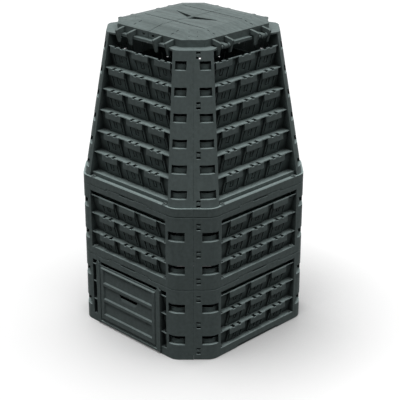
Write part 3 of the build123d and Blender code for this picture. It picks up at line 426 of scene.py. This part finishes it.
def moulded_plastic(name, colour, flow, mottle, streak, ledge_light):
    """Matte moulded plastic with a share of mottling, a share of flow marks and a factor of painted
    light on level faces, with painted shade in recesses.
    """
    material = bpy.data.materials.new(name)
    material.use_nodes = True
    tree = material.node_tree
    shader = tree.nodes["Principled BSDF"]
    shader.inputs["Specular IOR Level"].default_value = SPECULAR

    mottling = varied(tree, noise(tree, MOTTLE_SCALE, MOTTLE_DETAIL), mottle)
    streaks = varied(tree, noise(tree, STREAK_SCALE, STREAK_DETAIL, flow), streak)
    outlook = openness(tree, RECESS_REACH, False)
    # painted shade: the base colour darkens in the louvres' recesses
    painted_shade = ramp(tree, outlook, *RECESS_SPAN, PAINTED_RECESS_SHADE, 1.0)
    # painted light: level, half sheltered faces such as ledges are lightened
    ledge_lighting = painted_ledge_light(tree, outlook, ledge_light)
    pattern = product(tree, mottling, streaks, worn_and_highlit_edges(tree), painted_shade, ledge_lighting)

    tint = tree.nodes.new("ShaderNodeVectorMath")
    tint.operation = "SCALE"
    tint.inputs[0].default_value = colour
    tree.links.new(pattern, tint.inputs["Scale"])
    tree.links.new(tint.outputs["Vector"], shader.inputs["Base Color"])
    roughness = ramp(tree, mottling, 1.0 - mottle, 1.0 + mottle, ROUGH, SMOOTH)
    tree.links.new(roughness, shader.inputs["Roughness"])
    tree.links.new(grained_normal(tree), shader.inputs["Normal"])
    return material


print("finish ready: moulded_plastic")

# %% Finishes of the pieces
BODY_COLOUR = (0.166, 0.206, 0.202)
DOOR_COLOUR = (0.162, 0.200, 0.197)
LID_COLOUR = (0.145, 0.179, 0.175)
PIN_COLOUR = (0.14, 0.172, 0.169)
PEG_COLOUR = (0.19, 0.23, 0.226)

# the last factor of each finish is painted light on level, half sheltered faces
panel = moulded_plastic("panel_plastic", BODY_COLOUR, FLOW_DOWN, mottle=0.09, streak=0.05, ledge_light=3.0)
door = moulded_plastic("door_plastic", DOOR_COLOUR, FLOW_DOWN, mottle=0.08, streak=0.05, ledge_light=2.6)
lid = moulded_plastic("lid_plastic", LID_COLOUR, FLOW_ALONG, mottle=0.06, streak=0.18, ledge_light=1.0)
pin = moulded_plastic("hinge_pin_plastic", PIN_COLOUR, FLOW_ALONG, mottle=0.04, streak=0.03, ledge_light=1.0)
peg = moulded_plastic("peg_plastic", PEG_COLOUR, FLOW_DOWN, mottle=0.04, streak=0.03, ledge_light=1.2)
finishes = {
    "body_plastic": panel,
    "door_plastic": door,
    "lid_plastic": lid,
    "pin_plastic": pin,
    "peg_plastic": peg,
}
print("finishes:", sorted(finishes))

# %% [markdown]
# ## Dress the pieces
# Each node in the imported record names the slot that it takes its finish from, so the finishes go
# on in one loop, and no piece can be missed.

# %% Dress the nodes
for subpart in frame["record"]["subparts"]:
    piece = frame["nodes"][subpart["node"]]
    piece.data.materials.clear()
    piece.data.materials.append(finishes[subpart["material_slot"]])

# %% [markdown]
# ## Rain flaps behind the slots
# An open slot runs under the top rail of each panel in the two straight tiers, and in the picture
# it is black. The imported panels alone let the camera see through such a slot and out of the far
# side, to the white floor. So a flap hangs behind each slot from the inner edge of the rail's
# flange: a thin strip that curls inwards at its foot, so that rain runs back into the bin. A box
# would do to shut the view, but a strip is moulded as a sheet. So one edge is extruded down and
# spun into the curl, a Solidify modifier thickens the sheet, and a Bevel modifier rounds it.

# %% Sheet of a rain flap
FLAP_TOP = 0.3285
FLAP_BEND = 0.262
FLAP_SETBACK = 0.032
FLAP_HALF = 0.2345
FLAP_THICKNESS = 0.002
FLAP_CURL_RADIUS = 0.02
FLAP_CURL_ANGLE = 50.0
FLAP_CURL_STEPS = 8


def flap_sheet(face):
    """Sheet of the flap behind a panel that faces -Y, its face a distance from the bin's axis."""
    sheet = bmesh.new()
    depth = face - FLAP_SETBACK - FLAP_THICKNESS / 2
    ends = [sheet.verts.new((end, -depth, FLAP_TOP)) for end in (-FLAP_HALF, FLAP_HALF)]
    fall = bmesh.ops.extrude_edge_only(sheet, edges=[sheet.edges.new(ends)])["geom"]
    hem = [part for part in fall if isinstance(part, bmesh.types.BMVert)]
    bmesh.ops.translate(sheet, verts=hem, vec=(0.0, 0.0, FLAP_BEND - FLAP_TOP))
    hem_edge = [edge for edge in sheet.edges if set(edge.verts) == set(hem)]
    bmesh.ops.spin(
        sheet,
        geom=hem + hem_edge,
        cent=(0.0, FLAP_CURL_RADIUS - depth, FLAP_BEND),
        axis=(1.0, 0.0, 0.0),
        angle=math.radians(FLAP_CURL_ANGLE),
        steps=FLAP_CURL_STEPS,
    )
    return sheet


print("flap", 2 * FLAP_HALF, "m wide, bent", FLAP_BEND, "m over its tier's foot")

# %% Rain flaps
FLAP_EDGE = 0.0006
FLAP_EDGE_STEPS = 2
SIDE_TURNS = {"front": 0.0, "right": 90.0, "back": 180.0, "left": 270.0}


def rain_flap(name, turn, foot):
    """Flap that is turned to its side of the bin and lifted to its tier's foot."""
    sheet = flap_sheet(tier_half)
    quarter_turns = Matrix.Rotation(math.radians(turn), 3, "Z")
    bmesh.ops.rotate(sheet, verts=sheet.verts, cent=(0.0, 0.0, 0.0), matrix=quarter_turns)
    bmesh.ops.translate(sheet, verts=sheet.verts, vec=(0.0, tier_middle.y, foot))
    mesh = bpy.data.meshes.new(name)
    sheet.to_mesh(mesh)
    sheet.free()
    flap = bpy.data.objects.new(name, mesh)
    thick = flap.modifiers.new("thickness", "SOLIDIFY")
    thick.thickness = FLAP_THICKNESS
    thick.offset = 0.0
    rounded = flap.modifiers.new("rounded_edges", "BEVEL")
    rounded.width = FLAP_EDGE
    rounded.segments = FLAP_EDGE_STEPS
    return flap


for tier in ("base", "middle"):
    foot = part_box(f"{tier}_panel_back")[0].z
    for side, turn in SIDE_TURNS.items():
        flap = rain_flap(f"{tier}_rain_flap_{side}", turn, foot)
        flap.data.materials.append(finishes["body_plastic"])
        bpy.context.scene.collection.objects.link(flap)
        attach(flap, "bin")
    print(tier, "flaps hang to", round(min(corner.co.z for corner in flap.data.vertices), 4))
